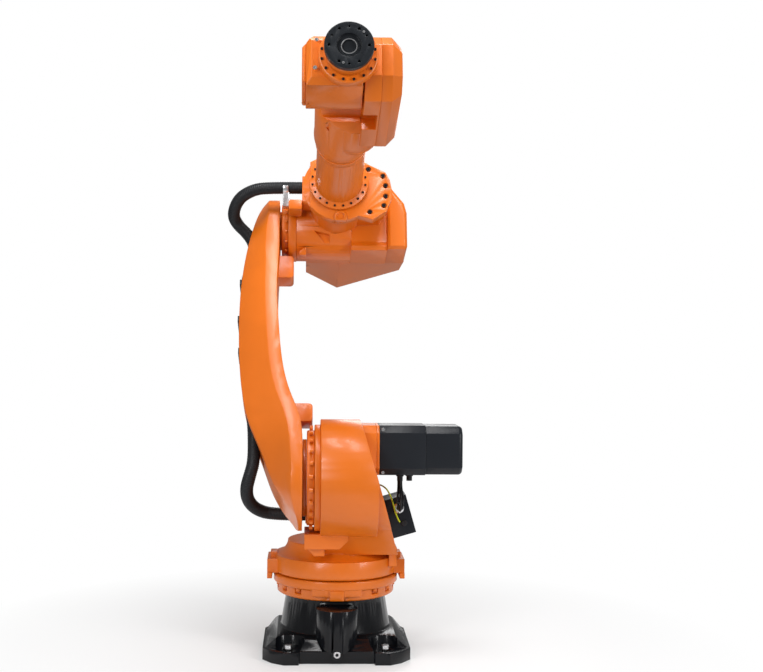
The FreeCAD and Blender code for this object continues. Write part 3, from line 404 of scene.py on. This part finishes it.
motor_low, motor_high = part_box("shoulder_motor")
motor_middle = (motor_low[2] + motor_high[2]) / 2
from_plate, off_middle, proud = 0.010, 0.066, 0.0004
screws("motor_screws", "column",
       [(motor_low[0] + from_plate, motor_middle + up) for up in (-off_middle, off_middle)],
       Matrix.Translation((0, motor_low[1] + proud, 0)) @ FACING["front"], bright_steel,
       head=0.0052, height=0.005)

# ---------------------------------------------------------------- hoses
# One supply hose climbs the arm: a ribbed black rubber tube, moulded with fine cross ribs.  It
# loops freely over the shoulder and the elbow, and the arm's channel holds it between them.
hose_rubber = plain_finish("hose_rubber", (0.014, 0.015, 0.017), 0.0, 0.46, 90.0)
hose_radius, rib_depth, rib_pitch = 0.0208, 0.0016, 0.0056


def tube_tree():
    """A tube along a curve, whose radius dips between fine cross ribs."""
    tree = bpy.data.node_groups.new("ribbed_tube", "GeometryNodeTree")
    face = tree.interface
    face.new_socket("Geometry", in_out="INPUT", socket_type="NodeSocketGeometry")
    for label in ("Radius", "Rib Depth", "Rib Pitch", "Ring Spacing"):
        face.new_socket(label, in_out="INPUT", socket_type="NodeSocketFloat")
    face.new_socket("Sides", in_out="INPUT", socket_type="NodeSocketInt")
    face.new_socket("Finish", in_out="INPUT", socket_type="NodeSocketMaterial")
    face.new_socket("Geometry", in_out="OUTPUT", socket_type="NodeSocketGeometry")
    new, link = tree.nodes.new, tree.links.new
    given, result = new("NodeGroupInput"), new("NodeGroupOutput")

    def maths(kind, first, second):
        node = new("ShaderNodeMath")
        node.operation = kind
        for socket, value in zip(node.inputs, (first, second)):
            if isinstance(value, float):
                socket.default_value = value
            else:
                link(value, socket)
        return node.outputs[0]

    rings = new("GeometryNodeResampleCurve")
    rings.mode = "LENGTH"
    link(given.outputs["Geometry"], rings.inputs["Curve"])
    link(given.outputs["Ring Spacing"], rings.inputs["Length"])
    along = new("GeometryNodeSplineParameter")
    wave = maths("COSINE", maths("MULTIPLY", maths("DIVIDE", along.outputs["Length"],
                                                      given.outputs["Rib Pitch"]), math.tau), 0.0)
    dip = maths("MULTIPLY", maths("SUBTRACT", 1.0, wave),
                 maths("MULTIPLY", given.outputs["Rib Depth"], 0.5))
    round_section = new("GeometryNodeCurvePrimitiveCircle")
    round_section.inputs["Radius"].default_value = 1.0
    link(given.outputs["Sides"], round_section.inputs["Resolution"])
    skin = new("GeometryNodeCurveToMesh")
    skin.inputs["Fill Caps"].default_value = True
    link(rings.outputs["Curve"], skin.inputs["Curve"])
    link(round_section.outputs["Curve"], skin.inputs["Profile Curve"])
    link(maths("SUBTRACT", given.outputs["Radius"], dip), skin.inputs["Scale"])
    real = new("GeometryNodeRealizeInstances")
    link(skin.outputs["Mesh"], real.inputs["Geometry"])
    smooth = new("GeometryNodeSetShadeSmooth")
    link(real.outputs["Geometry"], smooth.inputs["Geometry"])
    finish = new("GeometryNodeSetMaterial")
    link(smooth.outputs["Geometry"], finish.inputs["Geometry"])
    link(given.outputs["Finish"], finish.inputs["Material"])
    link(finish.outputs["Geometry"], result.inputs["Geometry"])
    return tree


ribbed_tube = tube_tree()


def tube(name, route, finish, radius, rib_depth=0.0, rib_pitch=0.006, sides=24):
    """A tube of one smooth spline over a route held at both ends."""
    line = bpy.data.curves.new(name, "CURVE")
    line.dimensions = "3D"
    line.resolution_u = 24
    spline = line.splines.new("NURBS")
    spline.points.add(len(route) - 1)
    for knot, spot in zip(spline.points, route):
        knot.co = (*spot, 1)
    spline.order_u = 3
    spline.use_endpoint_u = True
    holder = bpy.data.objects.new(f"{name}_route", line)
    bpy.context.scene.collection.objects.link(holder)
    shape = holder.modifiers.new("tube", "NODES")
    shape.node_group = ribbed_tube
    sizes = {"Radius": radius, "Rib Depth": rib_depth, "Rib Pitch": rib_pitch,
             "Ring Spacing": rib_pitch / 4 if rib_depth else radius, "Sides": sides,
             "Finish": finish}
    for item in ribbed_tube.interface.items_tree:
        if item.in_out == "INPUT" and item.name in sizes:
            shape[item.identifier] = sizes[item.name]
    return finished(holder, name)


def on_link(x, along, out=0.0):
    """A point of the link arm's own frame, along it from the shoulder."""
    return link_frame @ Vector((x, out, along))


channel_route = [on_link(x, z) for x, z in
                 ((-0.264, 0.096), (-0.265, 0.160), (-0.276, 0.235), (-0.285, 0.320),
                  (-0.291, 0.410), (-0.294, 0.500), (-0.293, 0.590), (-0.289, 0.680),
                  (-0.284, 0.745), (-0.281, 0.800))]
channel_hose = tube("link_arm_hose_ribbed", channel_route, hose_rubber, hose_radius,
                    rib_depth, rib_pitch)
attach(channel_hose, "link")
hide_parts("link_arm_hose")

shoulder_route = [on_link(-0.264, 0.096), on_link(-0.2633, 0.052), (-0.276, -0.162, 0.568),
                  (-0.288, -0.138, 0.524), (-0.284, -0.100, 0.482), (-0.258, -0.062, 0.448),
                  (-0.208, -0.030, 0.428), (-0.100, -0.030, 0.428)]
shoulder_loop = tube("lower_hose_ribbed", shoulder_route, hose_rubber, hose_radius,
                     rib_depth, rib_pitch)
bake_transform(shoulder_loop)
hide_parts("lower_hose")

entry_back, entry_up = -0.150, 0.099
entry = arm_frame @ Vector((0, entry_back, entry_up))
elbow_route = [on_link(-0.281, 0.800), on_link(-0.2792, 0.833), on_link(-0.304, 0.874, -0.004),
               on_link(-0.342, 0.902, -0.026), (-0.354, 0.142, 1.424), (-0.332, 0.108, 1.472),
               (-0.284, entry.y, 1.498), (-0.232, entry.y, entry.z), (-0.118, entry.y, entry.z)]
elbow_loop = tube("upper_hose_ribbed", elbow_route, hose_rubber, hose_radius,
                  rib_depth, rib_pitch)
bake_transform(elbow_loop)
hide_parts("upper_hose")
casting("hose_straps", black_plastic, 0.0008)
casting("hose_clamp", bright_steel, 0.0008)

# ---------------------------------------------------------------- cable box and leads
# Three black rubber leads drop from the motor's plug into a gland on a folded sheet-steel box.
# A yellowish green earth lead comes down beside them from the gearbox wall.
for node, finish, slot in (("cable_gland", bright_steel, "bright_steel"),
                           ("cable_box_blank", black_plastic, "black_plastic"),
                           ("motor_plugs", black_plastic, "black_plastic")):
    casting(node, finish, 0.0006)
cable_black = plain_finish("cable_black", (0.01, 0.01, 0.011), 0.0, 0.42, 120.0)
box_low, box_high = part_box("cable_gland")
gland = Vector(((box_low[0] + box_high[0]) / 2, box_high[1], (box_low[2] + box_high[2]) / 2))
plug_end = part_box("motor_plugs")[0][2]
leads = []
for number, (across, deep) in enumerate(((-0.0045, 0.0), (0.0045, 0.002), (0.0, -0.007))):
    route = [(0.196 + across, -0.176 + deep, plug_end),
             (0.196 + across, -0.176 + deep, plug_end - 0.020),
             (0.195 + across * 1.6, -0.204 + deep, plug_end - 0.038),
             (0.194 + across * 2.2, -0.232 + deep * 1.6, plug_end - 0.052),
             (gland.x + across * 1.4, -0.246 + deep, gland.z + 0.014 + deep * 0.4),
             (gland.x + across, -0.232 + deep * 0.5, gland.z + deep * 0.5),
             (gland.x + across, -0.184, gland.z + deep * 0.5)]
    leads.append(tube(f"motor_lead_{number}", route, cable_black, 0.0036, sides=14))
for lead in leads:
    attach(lead, "column")
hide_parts("motor_leads")

earth_green = plain_finish("earth_green", (0.52, 0.60, 0.02), 0.0, 0.4, 200.0)
earth_route = [(0.136, -0.150, 0.540), (0.150, -0.182, 0.538), (0.166, -0.196, 0.512),
               (0.176, -0.196, 0.480), (0.182, -0.196, 0.456), (0.190, -0.198, 0.438),
               (0.196, -0.190, 0.428), (0.196, -0.172, 0.428)]
earth = tube("earth_lead_striped", earth_route, earth_green, 0.0025, sides=12)
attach(earth, "column")
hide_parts("earth_lead")

# ---------------------------------------------------------------- floor, light and camera
# The arm stands on a round pale studio floor that brightens into the white surround.  Four soft
# boxes light it from the left, the right, above and behind, and the camera looks level from ahead.
floor_radius, even_floor, white_floor = 1.6, 0.3, 1.35
ground = bpy.data.meshes.new("floor")
rim = [(x, y, 0) for x, y in circle(floor_radius, 72, 0)]
ground.from_pydata(rim, [], [range(len(rim))])
floor = bpy.data.objects.new("floor", ground)
bpy.context.scene.collection.objects.link(floor)
paper = bpy.data.materials.new("pale_floor")
paper.use_nodes = True
nodes, links = paper.node_tree.nodes, paper.node_tree.links
sheet = nodes["Principled BSDF"]
sheet.inputs["Base Color"].default_value = (0.9, 0.9, 0.9, 1)
sheet.inputs["Roughness"].default_value = 0.35
glow = nodes.new("ShaderNodeEmission")
place = nodes.new("ShaderNodeTexCoord")
away = nodes.new("ShaderNodeVectorMath")
away.operation = "LENGTH"
links.new(place.outputs["Object"], away.inputs[0])
fade = nodes.new("ShaderNodeMapRange")
fade.inputs["From Min"].default_value = even_floor
fade.inputs["From Max"].default_value = white_floor
fade.inputs["To Min"].default_value = 0.25
links.new(away.outputs["Value"], fade.inputs["Value"])
mixed = nodes.new("ShaderNodeMixShader")
links.new(fade.outputs["Result"], mixed.inputs["Fac"])
links.new(sheet.outputs["BSDF"], mixed.inputs[1])
links.new(glow.outputs["Emission"], mixed.inputs[2])
links.new(mixed.outputs["Shader"], nodes["Material Output"].inputs["Surface"])
ground.materials.append(paper)

# The surround is seen as white, and lights the arm more dimly, so that its black parts stay black.
world = bpy.data.worlds.new("studio")
bpy.context.scene.world = world
world.use_nodes = True
nodes, links = world.node_tree.nodes, world.node_tree.links
nodes["Background"].inputs["Color"].default_value = (1, 1, 1, 1)
seen = nodes.new("ShaderNodeLightPath")
strength = nodes.new("ShaderNodeMapRange")
strength.inputs["To Min"].default_value = 0.27
strength.inputs["To Max"].default_value = 1.0
links.new(seen.outputs["Is Camera Ray"], strength.inputs["Value"])
links.new(strength.outputs["Result"], nodes["Background"].inputs["Strength"])


def softbox(name, spot, aim, width, height, power):
    """A rectangular area lamp, in metres and watts, turned towards a point."""
    lamp = bpy.data.lights.new(name, "AREA")
    lamp.shape = "RECTANGLE"
    lamp.size, lamp.size_y, lamp.energy = width, height, power
    holder = bpy.data.objects.new(name, lamp)
    holder.location = spot
    holder.rotation_euler = (Vector(aim) - Vector(spot)).to_track_quat("-Z", "Y").to_euler()
    bpy.context.scene.collection.objects.link(holder)


softbox("left_softbox", (-1.9, -3.0, 1.9), (0, 0, 0.9), 0.5, 2.4, 62)
softbox("right_softbox", (2.3, -2.2, 1.7), (0, 0, 0.9), 0.5, 2.2, 52)
softbox("top_softbox", (0, -0.9, 3.4), (0, 0, 1.0), 1.4, 1.0, 62)
softbox("back_softbox", (0.8, 3.2, 2.4), (0, 0, 1.0), 1.6, 1.6, 36)

turn, roll = math.radians(1.5), math.radians(0.4)
distance, eye_height = 3.865, 0.994
camera_data = bpy.data.cameras.new("camera")
camera = bpy.data.objects.new("camera", camera_data)
bpy.context.scene.collection.objects.link(camera)
camera_data.sensor_width = 36
camera_data.lens = 55.486
camera_data.shift_x = 0.05832
camera_data.shift_y = 0.00655
camera.matrix_world = (Matrix.Rotation(-turn, 4, "Z")
                       @ Matrix.Translation((0, -distance, eye_height))
                       @ Matrix.Rotation(math.radians(90), 4, "X")
                       @ Matrix.Rotation(roll, 4, "Z"))
camera_data.clip_end = 60
bpy.context.scene.camera = camera
bpy.context.scene.view_settings.view_transform = "Standard"
